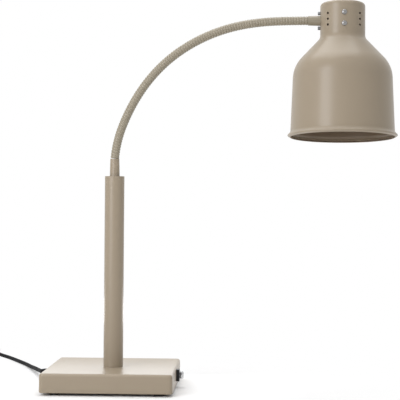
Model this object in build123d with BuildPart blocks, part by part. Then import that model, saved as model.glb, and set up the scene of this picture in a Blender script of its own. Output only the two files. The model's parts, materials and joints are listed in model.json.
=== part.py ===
"""Food heat lamp: a weighted box base, an upright column, a bendable ribbed arm and a bell shade.

Millimetres, +Z up. The origin is on the floor, at the middle of the lamp's overall footprint.
+X points from the column towards the shade, and -Y towards the viewer.
"""
from math import atan2, cos, degrees, pi, radians, sin, sqrt, tan
import os

from build123d import *

os.makedirs("parts", exist_ok=True)

# Base
base_width = 229
base_depth = 255
base_height = 33.5
base_edge_radius = 5
base_corner_radius = 7
base_rim_radius = 2
base_sheet = 1.5
base_flange = 15
base_plate_clearance = 0.5
foot_radius = 9
foot_height = 4.5
foot_inset = 24
foot_recess_radius = 5
foot_recess_depth = 2
post_radius = 5
screw_clearance = 0.3
foot_screw_radius = 2
foot_screw_head_radius = 3.8
foot_screw_head_height = 1.6
foot_screw_length = 14
thread_gap = 0.1

# Ballast and the pieces on it
ballast_clearance = 0.8
ballast_height = 14
ballast_screw_radius = 3
ballast_screw_head_radius = 6
ballast_screw_length = 11
ballast_screw_spacing = 120
terminal_length = 42
terminal_depth = 20
terminal_height = 12
terminal_offset_x = -52
terminal_offset_y = 28
terminal_pitch = 12
terminal_row_spacing = 11
terminal_screw_radius = 2
terminal_screw_height = 5
earth_screw_radius = 2.5
earth_screw_head_radius = 4.5
earth_screw_head_height = 3
earth_screw_length = 8
earth_offset_x = -52
earth_offset_y = -40

# Column
column_forward = 12
column_right = 1.5
column_radius = 17.5
column_wall = 1.5
column_length = 340.5
plug_height = 15
bush_height = 20
press_clearance = 0.05
bolt_radius = 4
bolt_head_height = 5.3
bolt_head_across = 13
bolt_engagement = 12
washer_side = 42
washer_thickness = 3
wire_hole_radius = 4
wire_hole_offset = 10.6
cable_bend_radius = 7

# Lower ferrule
ferrule_height = 31.6
ferrule_bottom_radius = 8.9
ferrule_top_radius = 8.1
ferrule_spigot_radius = 6
ferrule_spigot_length = 15

# Bendable arm: tangent arcs of one length, each with its own turn
segment_turns = [16, 10, 12, 13, 11.5, 11.5, 8.5, 2.5]
arm_start_lean = 5
ribs_per_segment = 12
rib_pitch = 4.9
rib_crest_radius = 7.75
rib_groove_radius = 7.1
rib_crest_start = 0.28
rib_crest_end = 0.72
arm_bore_radius = 3.6
arm_cable_radius = 3.3
bend_limit = 15
bend_spare = 0.5
ridge_gap = 0.3
seat_gap = 0.1

# Head: everything here is measured from the arm's axis, along and across the shade's own axis
head_roll = 2.7
collar_radius = 8.4
collar_end_radius = 9.1
collar_length = 22
collar_edge_radius = 0.6
spigot_radius = 6
spigot_length = 12
neck_radius = 40
neck_above_arm = 31
neck_top_radius = 6
neck_hole_drop = 1.8
shade_height = 240
shade_sheet = 0.8
cone_start_depth = 62.9
cone_slope = 43.4
wall_start_radius = 87.6
wall_end_radius = 92.4
lip_drop = 6.2
lip_out = 5.9
lip_return_drop = 3
lip_return = 5.3
neck_fillet = 14
shoulder_fillet = 55
lip_fillet = 6
lip_edge_radius = 1.5
vent_radius = 2.2
vent_pitch = 10.3
vent_rows = 3
vent_angles = [45, 135, 225, 315]
bracket_screw_spacing = 20
bracket_screw_radius = 2
bracket_screw_head_radius = 4.8
bracket_screw_head_height = 2.6
bracket_screw_length = 8
side_screw_spacing = 27
side_screw_radius = 2
side_screw_head_radius = 3.1
side_screw_head_height = 4.2
side_screw_length = 9
neck_plate_width = 18
neck_plate_height = 40
neck_plate_thickness = 3
inner_seat_gap = 0.2
collar_nut_across = 17
collar_nut_height = 5

# Lampholder and bulb
bracket_width = 22
bracket_thickness = 2
bracket_leg_top = 16
bracket_leg_bottom = -20
holder_radius = 22
holder_height = 50
holder_neck_radius = 12
holder_neck_height = 10
holder_cavity_radius = 14.2
holder_cavity_depth = 32
holder_shell_thickness = 0.5
bulb_cap_radius = 13.2
bulb_cap_length = 26
bulb_cap_gap = 0.25
bulb_cap_wall = 0.4
bulb_radius = 61
bulb_length = 136
bulb_glass_wall = 1.5
bulb_neck_radius = 19
bulb_face_sag = 6
contact_radius = 3.5
contact_height = 5.5
contact_gap = 0.2
lead_radius = 3

# Switch on the right face
switch_height_above_floor = 22.4
bezel_width = 15
bezel_height = 21.2
bezel_protrusion = 5.6
bezel_edge_radius = 1.2
housing_width = 12.6
housing_height = 18.6
housing_depth = 18
housing_wall = 1
rocker_opening_width = 8.4
rocker_opening_height = 13.6
rocker_width = 7
rocker_height = 11
rocker_front_height = 8.8
rocker_proud = 4.2
rocker_dish = 1.2
rocker_back = 3
rocker_rest_tilt = 13
rocker_pivot_depth = 1.6
rocker_pin_radius = 0.9
rocker_pin_length = 12.4
rocker_pin_gap = 0.1
cover_width = 10.6
cover_height = 13.4
cover_protrusion = 7.7
cover_wall = 0.6
cover_corner_radius = 2.6
cover_edge_radius = 2.4
cover_flange = 1.2

# Cord gland on the left face
gland_height_above_floor = 17.5
gland_offset_y = 85
gland_flange_radius = 8
gland_flange_thickness = 2
gland_protrusion = 10
gland_nose_start_radius = 6.6
gland_nose_end_radius = 5.2
gland_nose_edge_radius = 0.8
gland_thread_radius = 6
gland_thread_length = 10
gland_nut_across = 16
gland_nut_height = 4
gland_bore_clearance = 0.15

# Cord, coil and plug
cord_radius = 3.8
inner_lead_radius = 1.5
inner_bend_radius = 6
coil_run_in = 27
coil_turn_pitch = 9.7
coil_layer_pitch = 8.4
coil_outer_radius = 47.5
coil_half_turns_in = 4
coil_lift = 1.9
tie_width = 7
tie_thickness = 1.1
tie_clearance = 0.7
plug_radius = 18.5
plug_face_length = 16
plug_grip_radius = 13
plug_grip_length = 20
relief_length = 26
relief_start_radius = 5.2
relief_end_radius = 7
plug_edge_radius = 2
pin_radius = 2.4
pin_length = 19
pin_spacing = 19

# Route of the cord, from the middle of the base's footprint: x, y and height above the floor.
# The coil begins at coil_start, and the cord runs straight into it.
cord_points = [
    (-131.5, 85.0, 17.5),
    (-138.6, 88.0, 16.8),
    (-143.4, 94.8, 15.2),
    (-145.3, 103.5, 13.6),
    (-147.0, 111.0, 12.3),
    (-178.5, 215.0, 6.4),
    (-190.5, 248.0, 4.8),
    (-201.5, 279.0, 4.0),
    (-211.5, 303.0, 3.9),
    (-258.5, 401.0, 3.9),
    (-274.5, 430.0, 3.9),
    (-289.5, 455.0, 4.1),
    (-302.5, 480.0, 4.8),
    (-310.5, 500.0, 5.5),
]
coil_start = (-313.5, 540.0)
# From the coil's end, straight out of it and then to the plug: steps across and along the floor,
# and height above it.
tail_run_out = 20
tail_points = [
    (1.5, -40.0, 16.2),
    (6.0, -60.0, 18.5),
    (12.0, -78.0, 18.5),
]


def turned(direction, axis, angle):
    """A direction turned about an axis through the origin."""
    return direction.rotate(Axis((0, 0, 0), axis), angle)


def save(block, name):
    block.part.label = name
    export_step(block.part, "parts/" + name + ".step")


# Heights of the standing pieces
base_bottom = foot_height
base_top = base_bottom + base_height
plate_top = base_bottom + base_sheet
ballast_top = plate_top + ballast_height
ceiling = base_top - base_sheet
column_top = base_top + column_length
ferrule_top = column_top + ferrule_height

# The arm's route, from the column's axis: where each segment starts and how far it leans
segment_length = ribs_per_segment * rib_pitch
arm_start_height = ferrule_top + rib_crest_radius * sin(radians(arm_start_lean)) + seat_gap
arm_x = [0.0]
arm_z = [arm_start_height]
arm_lean = [float(arm_start_lean)]
for turn in segment_turns:
    chord = segment_length * sin(radians(turn / 2)) / radians(turn / 2)
    middle_lean = radians(arm_lean[-1] + turn / 2)
    arm_x.append(arm_x[-1] + chord * sin(middle_lean))
    arm_z.append(arm_z[-1] + chord * cos(middle_lean))
    arm_lean.append(arm_lean[-1] + turn)
collar_start = arm_x[-1] + seat_gap
head_reach = collar_start + collar_length + neck_radius
head_height = arm_z[-1]

# The origin is at the middle of the lamp's box, from the gland's nose to the shade's lip
lip_radius = wall_end_radius + lip_out
overall_left = -column_right - base_width / 2 - gland_protrusion
overall_right = head_reach + lip_radius
column_x = -(overall_left + overall_right) / 2
column_y = -column_forward
base_x = column_x - column_right
head_x = column_x + head_reach
base_left = base_x - base_width / 2
base_right = base_x + base_width / 2
switch_face = Plane(origin=(base_right, 0, switch_height_above_floor), x_dir=(0, 1, 0), z_dir=(1, 0, 0))
gland_face = Plane(origin=(base_left, gland_offset_y, gland_height_above_floor), x_dir=(0, -1, 0), z_dir=(-1, 0, 0))


def base_level(height):
    return Plane(origin=(base_x, 0, height))


def column_level(height):
    return Plane(origin=(column_x, column_y, height))


# The hollow in the base, with the same wall all round
with BuildPart() as base_hollow:
    with BuildSketch(base_level(plate_top)):
        RectangleRounded(base_width - 2 * base_sheet, base_depth - 2 * base_sheet,
                         base_corner_radius - base_sheet)
    extrude(amount=base_height - 2 * base_sheet)
    fillet(base_hollow.faces().sort_by(Axis.Z)[-1].edges(), base_edge_radius - base_sheet)

# Base shell: a box with rounded edges and a folded rim around its open bottom
with BuildPart() as base_shell:
    with BuildSketch(base_level(base_bottom)):
        Rectangle(base_width, base_depth)
    extrude(amount=base_height)
    fillet(base_shell.edges().filter_by(Axis.Z), base_corner_radius)
    fillet(base_shell.faces().sort_by(Axis.Z)[-1].edges(), base_edge_radius)
    fillet(base_shell.faces().sort_by(Axis.Z)[0].edges(), base_rim_radius)
    add(base_hollow.part, mode=Mode.SUBTRACT)
    with BuildSketch(base_level(base_bottom)):
        Rectangle(base_width - 2 * base_flange, base_depth - 2 * base_flange)
    extrude(amount=base_sheet, mode=Mode.SUBTRACT)
    with BuildSketch(column_level(base_top)):
        Circle(bolt_radius + screw_clearance)
        with Locations((0, wire_hole_offset)):
            Circle(wire_hole_radius)
    extrude(amount=-base_sheet, mode=Mode.SUBTRACT)
    with BuildSketch(switch_face):
        Rectangle(housing_width + 2 * screw_clearance, housing_height + 2 * screw_clearance)
    extrude(amount=-base_sheet, mode=Mode.SUBTRACT)
    with BuildSketch(gland_face):
        Circle(gland_thread_radius + screw_clearance)
    extrude(amount=-base_sheet, mode=Mode.SUBTRACT)
save(base_shell, "base_shell")

foot_spacing_x = base_width - 2 * foot_inset
foot_spacing_y = base_depth - 2 * foot_inset

with BuildPart() as base_plate:
    with BuildSketch(base_level(base_bottom)):
        Rectangle(base_width - 2 * base_flange - 2 * base_plate_clearance,
                  base_depth - 2 * base_flange - 2 * base_plate_clearance)
        with GridLocations(foot_spacing_x, foot_spacing_y, 2, 2):
            Circle(foot_screw_radius + screw_clearance, mode=Mode.SUBTRACT)
    extrude(amount=base_sheet)
    with Locations(base_level(base_bottom)):
        with GridLocations(0, ballast_screw_spacing, 1, 2):
            Cone(ballast_screw_head_radius + screw_clearance, ballast_screw_radius + screw_clearance,
                 base_sheet, align=(Align.CENTER, Align.CENTER, Align.MIN), mode=Mode.SUBTRACT)
save(base_plate, "base_plate")

# Posts hang from the base's ceiling down to the bottom plate, one over each foot
with BuildPart() as base_posts:
    with BuildSketch(base_level(plate_top)):
        with GridLocations(foot_spacing_x, foot_spacing_y, 2, 2):
            Circle(post_radius)
            Circle(foot_screw_radius + thread_gap, mode=Mode.SUBTRACT)
    extrude(amount=ceiling - plate_top)
save(base_posts, "base_posts")

with BuildPart() as rubber_feet:
    with BuildSketch(base_level(0)):
        with GridLocations(foot_spacing_x, foot_spacing_y, 2, 2):
            Circle(foot_radius)
            Circle(foot_screw_radius + screw_clearance, mode=Mode.SUBTRACT)
    extrude(amount=foot_height)
    with BuildSketch(base_level(0)):
        with GridLocations(foot_spacing_x, foot_spacing_y, 2, 2):
            Circle(foot_recess_radius)
    extrude(amount=foot_recess_depth, mode=Mode.SUBTRACT)
save(rubber_feet, "rubber_feet")

with BuildPart() as foot_screws:
    with BuildSketch(base_level(foot_recess_depth)):
        with GridLocations(foot_spacing_x, foot_spacing_y, 2, 2):
            Circle(foot_screw_head_radius)
    extrude(amount=-foot_screw_head_height)
    with BuildSketch(base_level(foot_recess_depth)):
        with GridLocations(foot_spacing_x, foot_spacing_y, 2, 2):
            Circle(foot_screw_radius)
    extrude(amount=foot_screw_length)
save(foot_screws, "foot_screws")

ballast_margin = 2 * (post_radius + ballast_clearance)
with BuildPart() as ballast_plate:
    with BuildSketch(base_level(plate_top)):
        Rectangle(foot_spacing_x - ballast_margin, foot_spacing_y - ballast_margin)
        with GridLocations(0, ballast_screw_spacing, 1, 2):
            Circle(ballast_screw_radius + thread_gap, mode=Mode.SUBTRACT)
        with Locations((earth_offset_x, earth_offset_y)):
            Circle(earth_screw_radius + thread_gap, mode=Mode.SUBTRACT)
    extrude(amount=ballast_height)
save(ballast_plate, "ballast_plate")

with BuildPart() as ballast_screws:
    with Locations(base_level(base_bottom)):
        with GridLocations(0, ballast_screw_spacing, 1, 2):
            Cone(ballast_screw_head_radius, ballast_screw_radius, base_sheet,
                 align=(Align.CENTER, Align.CENTER, Align.MIN))
            Cylinder(ballast_screw_radius, ballast_screw_length,
                     align=(Align.CENTER, Align.CENTER, Align.MIN))
save(ballast_screws, "ballast_screws")

# Terminal block with two rows of sunk clamp screws
terminal_level = Plane(origin=(base_x + terminal_offset_x, terminal_offset_y, ballast_top))
terminal_top = terminal_level.offset(terminal_height)
with BuildPart() as terminal_block:
    with BuildSketch(terminal_level):
        RectangleRounded(terminal_length, terminal_depth, base_sheet)
    extrude(amount=terminal_height)
    with BuildSketch(terminal_top):
        with GridLocations(terminal_pitch, terminal_row_spacing, 3, 2):
            Circle(terminal_screw_radius + thread_gap)
    extrude(amount=-terminal_screw_height, mode=Mode.SUBTRACT)
save(terminal_block, "terminal_block")

with BuildPart() as terminal_screws:
    with BuildSketch(terminal_top):
        with GridLocations(terminal_pitch, terminal_row_spacing, 3, 2):
            Circle(terminal_screw_radius)
    extrude(amount=-terminal_screw_height)
save(terminal_screws, "terminal_screws")

with BuildPart() as earth_screw:
    with BuildSketch(base_level(ballast_top)):
        with Locations((earth_offset_x, earth_offset_y)):
            Circle(earth_screw_head_radius)
    extrude(amount=earth_screw_head_height)
    with BuildSketch(base_level(ballast_top)):
        with Locations((earth_offset_x, earth_offset_y)):
            Circle(earth_screw_radius)
    extrude(amount=-earth_screw_length)
save(earth_screw, "earth_screw")

# Column: a tube on a threaded plug, drawn down by one bolt through a square washer
with BuildPart() as column_tube:
    with BuildSketch(column_level(base_top)):
        Circle(column_radius)
        Circle(column_radius - column_wall, mode=Mode.SUBTRACT)
    extrude(amount=column_length)
save(column_tube, "column_tube")

plug_fit_radius = column_radius - column_wall - press_clearance
with BuildPart() as column_plug:
    with BuildSketch(column_level(base_top)):
        Circle(plug_fit_radius)
        Circle(bolt_radius + thread_gap, mode=Mode.SUBTRACT)
        with Locations((0, wire_hole_offset)):
            Circle(wire_hole_radius, mode=Mode.SUBTRACT)
    extrude(amount=plug_height)
save(column_plug, "column_plug")

washer_bottom = ceiling - washer_thickness
with BuildPart() as column_washer:
    with BuildSketch(column_level(washer_bottom)):
        Rectangle(washer_side, washer_side)
        Circle(bolt_radius + screw_clearance, mode=Mode.SUBTRACT)
        with Locations((0, wire_hole_offset)):
            Circle(wire_hole_radius, mode=Mode.SUBTRACT)
    extrude(amount=washer_thickness)
save(column_washer, "column_washer")

with BuildPart() as column_bolt:
    with BuildSketch(column_level(washer_bottom)):
        RegularPolygon(bolt_head_across / 2, 6, major_radius=False)
    extrude(amount=-bolt_head_height)
    with BuildSketch(column_level(washer_bottom)):
        Circle(bolt_radius)
    extrude(amount=washer_thickness + base_sheet + bolt_engagement)
save(column_bolt, "column_bolt")

with BuildPart() as column_bush:
    with BuildSketch(column_level(column_top)):
        Circle(plug_fit_radius)
        Circle(ferrule_spigot_radius + thread_gap, mode=Mode.SUBTRACT)
    extrude(amount=-bush_height)
save(column_bush, "column_bush")

with BuildPart() as lower_ferrule:
    with BuildSketch(Plane(origin=(column_x, column_y, column_top), x_dir=(1, 0, 0), z_dir=(0, -1, 0))):
        with BuildLine():
            Polyline(
                (arm_bore_radius, -ferrule_spigot_length),
                (ferrule_spigot_radius, -ferrule_spigot_length),
                (ferrule_spigot_radius, 0),
                (ferrule_bottom_radius, 0),
                (ferrule_top_radius, ferrule_height),
                (arm_bore_radius, ferrule_height),
                close=True,
            )
        make_face()
    revolve(axis=Axis((column_x, column_y, 0), (0, 0, 1)))
save(lower_ferrule, "lower_ferrule")

# Cable from the terminal block, over the ballast, up the column to the arm
cable_run_height = ballast_top + arm_cable_radius + seat_gap
hole_y = column_y + wire_hole_offset
cable_rise = column_top - 3 * bush_height
with BuildPart() as column_cable:
    with BuildLine() as cable_route:
        FilletPolyline(
            (base_x + terminal_offset_x + terminal_length / 2 + seat_gap, terminal_offset_y, cable_run_height),
            (column_x - washer_side / 2, terminal_offset_y, cable_run_height),
            (column_x, hole_y, cable_run_height),
            (column_x, hole_y, cable_rise),
            (column_x, column_y, cable_rise + bush_height),
            (column_x, column_y, ferrule_top),
            radius=[cable_bend_radius, cable_bend_radius, 2 * cable_bend_radius, 2 * cable_bend_radius],
        )
    with BuildSketch(Plane(origin=cable_route.line @ 0, z_dir=cable_route.line % 0)):
        Circle(arm_cable_radius)
    sweep()
save(column_cable, "column_cable")

# Arm segments. At every joint the two ends are bevelled like roofs whose ridges meet on the hinge line,
# so that one end rolls on the other without touching.
across = Vector(0, 1, 0)
boundary_points = [Vector(column_x + x, column_y, z) for x, z in zip(arm_x, arm_z)]
boundary_tangents = [Vector(sin(radians(lean)), 0, cos(radians(lean))) for lean in arm_lean]
hinge_axes = []
for number, tangent in enumerate(boundary_tangents):
    hinge_axes.append(across if number % 2 == 1 else tangent.cross(across))
bevel = bend_limit / 2 + bend_spare
segment_count = len(segment_turns)


def arm_station(segment, share):
    """Point and direction on the arm, at a share of one segment's length."""
    turn = segment_turns[segment] * share
    lean = arm_lean[segment]
    chord = segment_length * share
    if share > 0:
        chord = segment_length * share * sin(radians(turn / 2)) / radians(turn / 2)
    middle_lean = radians(lean + turn / 2)
    point = boundary_points[segment] + Vector(chord * sin(middle_lean), 0, chord * cos(middle_lean))
    return point, Vector(sin(radians(lean + turn)), 0, cos(radians(lean + turn)))


def bevel_planes(boundary, side):
    """The two planes of the roof at a boundary: side is -1 below the hinge and +1 above it."""
    tangent = boundary_tangents[boundary]
    origin = boundary_points[boundary] + tangent * (side * ridge_gap / 2)
    return [Plane(origin=origin, z_dir=turned(tangent, hinge_axes[boundary], angle)) for angle in (bevel, -bevel)]


for segment in range(segment_count):
    start_point, start_direction = arm_station(segment, 0)
    middle_point = arm_station(segment, 0.5)[0]
    end_point = arm_station(segment, 1)[0]
    cuts = []
    if segment > 0:
        cuts += [(plane, Keep.TOP) for plane in bevel_planes(segment, 1)]
    if segment < segment_count - 1:
        cuts += [(plane, Keep.BOTTOM) for plane in bevel_planes(segment + 1, -1)]
    with BuildPart() as arm_segment:
        for rib in range(ribs_per_segment):
            profile = [
                (0, rib_groove_radius),
                (rib_crest_start, rib_crest_radius),
                (rib_crest_end, rib_crest_radius),
            ]
            for place, radius in profile:
                point, direction = arm_station(segment, (rib + place) / ribs_per_segment)
                with BuildSketch(Plane(origin=point, x_dir=across, z_dir=direction)):
                    Circle(radius)
        point, direction = arm_station(segment, 1)
        with BuildSketch(Plane(origin=point, x_dir=across, z_dir=direction)):
            Circle(rib_groove_radius)
        loft(ruled=True)
        with BuildLine() as bore_line:
            ThreePointArc(start_point, middle_point, end_point)
        with BuildSketch(Plane(origin=start_point, x_dir=across, z_dir=start_direction)):
            Circle(arm_bore_radius)
        sweep(path=bore_line.line, mode=Mode.SUBTRACT)
        for plane, keep in cuts:
            split(bisect_by=plane, keep=keep)
    save(arm_segment, "arm_segment_%d" % (segment + 1))
    with BuildPart() as arm_cable:
        with BuildLine() as core_line:
            ThreePointArc(start_point, middle_point, end_point)
        with BuildSketch(Plane(origin=start_point, x_dir=across, z_dir=start_direction)):
            Circle(arm_cable_radius)
        sweep(path=core_line.line)
        for plane, keep in cuts:
            split(bisect_by=plane, keep=keep)
    save(arm_cable, "arm_cable_%d" % (segment + 1))

# Head planes: the shade's axis leans a little, because the head is rolled about the arm's end
roll = radians(head_roll)
head_axis = Vector(0, sin(roll), cos(roll))
head_front = Vector(0, -cos(roll), sin(roll))
head_centre = Vector(head_x, column_y, head_height)


def head_level(height):
    """Plane across the shade's axis, with its local y pointing to the back."""
    return Plane(origin=head_centre + head_axis * height, x_dir=(1, 0, 0), z_dir=head_axis)


# Plane through the shade's axis: local x is the radius and local y the height
head_section = Plane(origin=head_centre, x_dir=(1, 0, 0), z_dir=head_front)
head_revolve = Axis(head_centre, head_axis)


def head_side(radius, angle, height=0):
    """Plane on the neck's wall that faces outwards: angle 0 is the front and 90 the right."""
    outward = turned(head_front, head_axis, angle)
    origin = head_centre + outward * radius + head_axis * height
    return Plane(origin=origin, x_dir=turned(Vector(1, 0, 0), head_axis, angle), z_dir=outward)


# Shade: one spun sheet, from the flat top over the neck, cone, shoulder and wall to the flared lip,
# which turns back in under itself
neck_top = neck_above_arm
cone_top = neck_top - cone_start_depth
shoulder_drop = (wall_start_radius - neck_radius) / tan(radians(cone_slope))
rim = neck_top - shade_height
lip_height = rim + lip_return_drop
corner_list = [
    (0, neck_top),
    (neck_radius, neck_top),
    (neck_radius, cone_top),
    (wall_start_radius, cone_top - shoulder_drop),
    (wall_end_radius, lip_height + lip_drop),
    (lip_radius, lip_height),
    (lip_radius - lip_return, rim),
]
corner_radii = [neck_top_radius, neck_fillet, shoulder_fillet, lip_fillet, lip_edge_radius]
with BuildPart() as shade:
    with BuildSketch(head_section):
        with BuildLine():
            outer = FilletPolyline(*corner_list, radius=corner_radii)
            offset(outer, amount=shade_sheet, side=Side.RIGHT)
        make_face()
    revolve(axis=head_revolve)
    for angle in vent_angles:
        with BuildSketch(head_side(neck_radius + shade_sheet, angle, -neck_hole_drop)):
            with GridLocations(0, vent_pitch, 1, vent_rows):
                Circle(vent_radius)
        extrude(amount=-3 * shade_sheet, mode=Mode.SUBTRACT)
    for angle in (0, 180):
        with BuildSketch(head_side(neck_radius + shade_sheet, angle, -neck_hole_drop)):
            with GridLocations(0, bracket_screw_spacing, 1, 2):
                Circle(bracket_screw_radius + screw_clearance)
        extrude(amount=-3 * shade_sheet, mode=Mode.SUBTRACT)
    with BuildSketch(head_side(neck_radius + shade_sheet, 270)):
        Circle(spigot_radius + screw_clearance)
        with GridLocations(0, side_screw_spacing, 1, 2):
            Circle(side_screw_radius + screw_clearance)
    extrude(amount=-6 * shade_sheet, mode=Mode.SUBTRACT)
save(shade, "shade")

# Upper collar: it widens towards the neck, its end is coped to it, and its threaded spigot goes on
# through the wall
collar_plane = Plane(origin=(column_x + collar_start, column_y, head_height), z_dir=(1, 0, 0))
collar_reach = collar_length + spigot_length
collar_far_radius = collar_radius + (collar_end_radius - collar_radius) * collar_reach / collar_length
with BuildPart() as upper_collar:
    with Locations(collar_plane):
        Cone(collar_radius, collar_far_radius, collar_reach, align=(Align.CENTER, Align.CENTER, Align.MIN))
    fillet(upper_collar.edges().sort_by(Axis.X)[0], collar_edge_radius)
    with BuildSketch(head_level(neck_top)):
        Circle(neck_radius + seat_gap)
    extrude(amount=-2 * neck_top, mode=Mode.SUBTRACT)
    with BuildSketch(collar_plane.offset(collar_length / 2)):
        Circle(spigot_radius)
    extrude(amount=collar_length / 2 + spigot_length)
    with BuildSketch(collar_plane):
        Circle(arm_bore_radius)
    extrude(amount=collar_reach, mode=Mode.SUBTRACT)
save(upper_collar, "upper_collar")

# Plate inside the neck's left side, on the spigot, with the two side screws in it
neck_inner = neck_radius - shade_sheet
plate_face = sqrt(neck_inner ** 2 - (neck_plate_width / 2) ** 2) - inner_seat_gap
with BuildPart() as neck_plate:
    with BuildSketch(head_side(plate_face, 270)):
        Rectangle(neck_plate_width, neck_plate_height)
        Circle(spigot_radius + thread_gap, mode=Mode.SUBTRACT)
        with GridLocations(0, side_screw_spacing, 1, 2):
            Circle(side_screw_radius + thread_gap, mode=Mode.SUBTRACT)
    extrude(amount=-neck_plate_thickness)
save(neck_plate, "neck_plate")

with BuildPart() as collar_nut:
    with BuildSketch(head_side(plate_face - neck_plate_thickness, 270)):
        RegularPolygon(collar_nut_across / 2, 6, major_radius=False)
        Circle(spigot_radius + thread_gap, mode=Mode.SUBTRACT)
    extrude(amount=-collar_nut_height)
save(collar_nut, "collar_nut")

with BuildPart() as side_screws:
    with BuildSketch(head_side(neck_radius + seat_gap, 270)):
        with GridLocations(0, side_screw_spacing, 1, 2):
            Circle(side_screw_head_radius)
    extrude(amount=side_screw_head_height)
    with BuildSketch(head_side(neck_radius + seat_gap, 270)):
        with GridLocations(0, side_screw_spacing, 1, 2):
            Circle(side_screw_radius)
    extrude(amount=-side_screw_length)
save(side_screws, "side_screws")

# Bracket across the neck, screwed through the neck's front and back, that carries the lampholder
leg_face = sqrt(neck_inner ** 2 - (bracket_width / 2) ** 2) - inner_seat_gap
leg_height = bracket_leg_top - bracket_leg_bottom
with BuildPart() as lampholder_bracket:
    with BuildSketch(head_level(bracket_leg_bottom)):
        Rectangle(bracket_width, 2 * leg_face)
    extrude(amount=leg_height)
    with BuildSketch(head_level(bracket_leg_bottom + bracket_thickness)):
        Rectangle(bracket_width, 2 * (leg_face - bracket_thickness))
    extrude(amount=leg_height, mode=Mode.SUBTRACT)
    with BuildSketch(head_level(bracket_leg_bottom)):
        Circle(spigot_radius)
    extrude(amount=bracket_thickness, mode=Mode.SUBTRACT)
    for angle in (0, 180):
        with BuildSketch(head_side(leg_face, angle, -neck_hole_drop)):
            with GridLocations(0, bracket_screw_spacing, 1, 2):
                Circle(bracket_screw_radius + thread_gap)
        extrude(amount=-bracket_thickness, mode=Mode.SUBTRACT)
save(lampholder_bracket, "lampholder_bracket")

with BuildPart() as bracket_screws:
    for angle in (0, 180):
        with BuildSketch(head_side(neck_radius + seat_gap, angle, -neck_hole_drop)):
            with GridLocations(0, bracket_screw_spacing, 1, 2):
                Circle(bracket_screw_head_radius)
        extrude(amount=bracket_screw_head_height)
        with BuildSketch(head_side(neck_radius + seat_gap, angle, -neck_hole_drop)):
            with GridLocations(0, bracket_screw_spacing, 1, 2):
                Circle(bracket_screw_radius)
        extrude(amount=-bracket_screw_length)
save(bracket_screws, "bracket_screws")

# Lampholder: a ceramic cup with a hollow stem, closed below the stem except for the lead's hole
holder_top = bracket_leg_bottom
holder_bottom = holder_top - holder_height
cavity_top = holder_bottom + holder_cavity_depth
with BuildPart() as lampholder:
    with BuildSketch(head_section):
        with BuildLine():
            Polyline(
                (lead_radius + screw_clearance, holder_top),
                (holder_neck_radius, holder_top),
                (holder_neck_radius, holder_top - holder_neck_height),
                (holder_radius, holder_top - holder_neck_height),
                (holder_radius, holder_bottom),
                (holder_cavity_radius, holder_bottom),
                (holder_cavity_radius, cavity_top),
                (lead_radius + screw_clearance, cavity_top),
                close=True,
            )
        make_face()
    revolve(axis=head_revolve)
save(lampholder, "lampholder")

with BuildPart() as holder_shell:
    with BuildSketch(head_level(holder_bottom + holder_shell_thickness)):
        Circle(holder_cavity_radius - press_clearance)
        Circle(holder_cavity_radius - press_clearance - holder_shell_thickness, mode=Mode.SUBTRACT)
    extrude(amount=bulb_cap_length)
save(holder_shell, "holder_shell")

cap_top = cavity_top - contact_height - contact_gap
cap_bottom = cap_top - bulb_cap_length
with BuildPart() as holder_contact:
    with BuildSketch(head_level(cavity_top)):
        Circle(contact_radius)
    extrude(amount=-contact_height)
save(holder_contact, "holder_contact")

with BuildPart() as bulb_cap:
    with BuildSketch(head_section):
        with BuildLine():
            Polyline(
                (0, cap_top),
                (contact_radius, cap_top),
                (bulb_cap_radius, cap_top - contact_radius),
                (bulb_cap_radius, cap_bottom),
                (bulb_cap_radius - bulb_cap_wall, cap_bottom),
                (bulb_cap_radius - bulb_cap_wall, cap_top - contact_radius - bulb_cap_wall),
                (0, cap_top - contact_radius - bulb_cap_wall),
                close=True,
            )
        make_face()
    revolve(axis=head_revolve)
save(bulb_cap, "bulb_cap")

# Bulb glass: a neck that opens into the cap, a widening reflector cone and a domed face
bulb_bottom = cap_top - bulb_length
glass_start = cap_bottom - bulb_cap_gap
reflector_edge = bulb_bottom + bulb_face_sag
cone_foot = glass_start - bulb_neck_radius
edge_top = reflector_edge + bulb_neck_radius
with BuildPart() as bulb_glass:
    with BuildSketch(head_section):
        with BuildLine():
            Polyline(
                (bulb_cap_radius, glass_start),
                (bulb_neck_radius, cone_foot),
                (bulb_radius, edge_top),
                (bulb_radius, reflector_edge),
            )
            TangentArc((0, bulb_bottom), (bulb_radius, reflector_edge), tangent=(1, 0))
            Line((0, bulb_bottom), (0, bulb_bottom + bulb_glass_wall))
            TangentArc(
                (0, bulb_bottom + bulb_glass_wall),
                (bulb_radius - bulb_glass_wall, reflector_edge + bulb_glass_wall),
                tangent=(1, 0),
            )
            Polyline(
                (bulb_radius - bulb_glass_wall, reflector_edge + bulb_glass_wall),
                (bulb_radius - bulb_glass_wall, edge_top),
                (bulb_neck_radius - bulb_glass_wall, cone_foot),
                (bulb_cap_radius - bulb_glass_wall, glass_start),
                (bulb_cap_radius, glass_start),
            )
        make_face()
    revolve(axis=head_revolve)
save(bulb_glass, "bulb_glass")

# Lead from the collar down through the lampholder's stem
with BuildPart() as head_lead:
    with BuildLine() as lead_route:
        FilletPolyline(
            collar_plane.origin,
            head_centre - Vector(neck_radius - spigot_length - holder_neck_radius, 0, 0),
            head_centre + head_axis * (bracket_leg_bottom / 2),
            head_centre + head_axis * (cavity_top + seat_gap),
            radius=2 * lead_radius,
        )
    with BuildSketch(Plane(origin=lead_route.line @ 0, z_dir=lead_route.line % 0)):
        Circle(lead_radius)
    sweep()
save(head_lead, "head_lead")

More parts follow.
